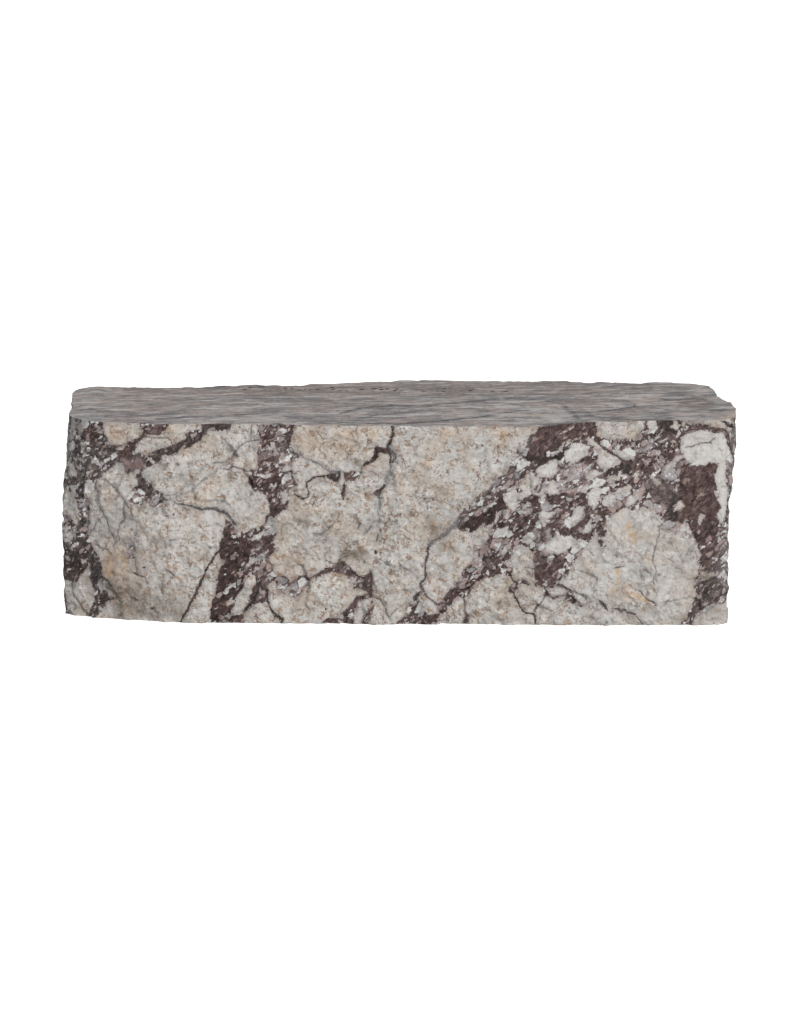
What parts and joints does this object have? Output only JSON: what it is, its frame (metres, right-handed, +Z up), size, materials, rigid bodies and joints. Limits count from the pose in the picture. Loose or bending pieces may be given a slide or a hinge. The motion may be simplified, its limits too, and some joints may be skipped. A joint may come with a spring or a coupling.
{
  "type": "marble block",
  "caption": "Long low block of breccia marble, split rough on its front, back and ends and sawn flat on its top and underside, free-standing as a bench, table or plinth.",
  "frame": {"origin": "middle of the underside", "axes": "+X along the length, -Y out of the front, +Z up"},
  "size_m": [1.2256, 0.4182, 0.365],
  "materials": {
    "breccia_marble": "split rough and matt on the sides, sawn and lightly honed on the top"
  },
  "bodies": {
    "root": {"marble_block": "breccia_marble"}
  },
  "joints": []
}
